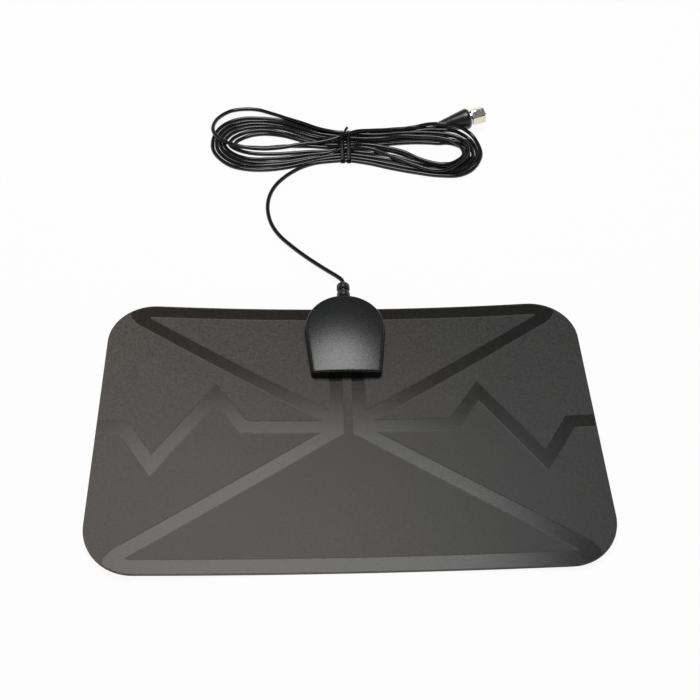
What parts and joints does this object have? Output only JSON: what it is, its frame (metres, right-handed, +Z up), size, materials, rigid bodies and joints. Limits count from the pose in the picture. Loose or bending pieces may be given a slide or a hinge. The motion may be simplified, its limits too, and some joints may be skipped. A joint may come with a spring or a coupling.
{
  "type": "flat indoor tv antenna",
  "caption": "Thin curled antenna sheet with an embossed foil pattern, a small rounded housing at its edge, and a coax lead in a tied hank with a screw-on connector.",
  "frame": {"origin": "on the surface it lies on, under the middle of the box round the sheet, the housing and the strain relief", "axes": "+X along the sheet's width, +Y from the sheet's near edge to the housing and the cord, +Z up from the surface"},
  "size_m": [0.3, 0.39, 0.0166],
  "materials": {
    "front_film": "satin, fine texture",
    "foil": "rolled, under the front film",
    "back_film": "matte",
    "housing": "fine spark texture, satin",
    "back_housing": "matte",
    "screw": "zinc plated",
    "board": "solder mask over glass fibre",
    "contact": "bright spring strip",
    "ferrite": "sintered ferrite",
    "enamelled_wire": "enamelled copper",
    "ceramic": "ceramic chip",
    "tinned_steel": "tin plated",
    "braid": "tinned braid",
    "dielectric": "foamed polyethylene",
    "copper": "copper clad steel",
    "solder": "soft solder",
    "relief": "soft moulded plastic, satin",
    "cord_jacket": "glossy soft PVC",
    "tie": "plastic coated wire",
    "boot": "satin moulded plastic",
    "nickel": "bright nickel plate",
    "insulator": "polyethylene",
    "pin": "copper clad steel"
  },
  "bodies": {
    "antenna": {"front_film": "front_film", "antenna_foil": "foil", "back_film": "back_film", "top_cover": "housing", "back_cover": "back_housing", "cover_screws": "screw", "circuit_board": "board", "contact_left": "contact", "contact_right": "contact", "balun_core": "ferrite", "balun_winding": "enamelled_wire", "matching_capacitor": "ceramic", "cable_clamp": "tinned_steel", "cable_jacket_end": "cord_jacket", "cable_braid_end": "braid", "cable_dielectric_end": "dielectric", "cable_conductor_end": "copper", "solder_joint": "solder", "strain_relief": "relief", "coax_cord": "cord_jacket", "cord_hank": "cord_jacket", "cord_tail": "cord_jacket", "twist_tie": "tie", "connector_boot": "boot", "connector_body": "nickel", "connector_insulator": "insulator", "connector_pin": "pin"},
    "nut": {"coupling_nut": "nickel"}
  },
  "joints": [
    {"name": "nut_spin", "type": "hinge", "parent": "antenna", "child": "nut", "pos_m": [0.1046, 0.2704, 0.00788], "axis": [0.9647, 0.1998, 0.1714], "continuous": true}
  ]
}
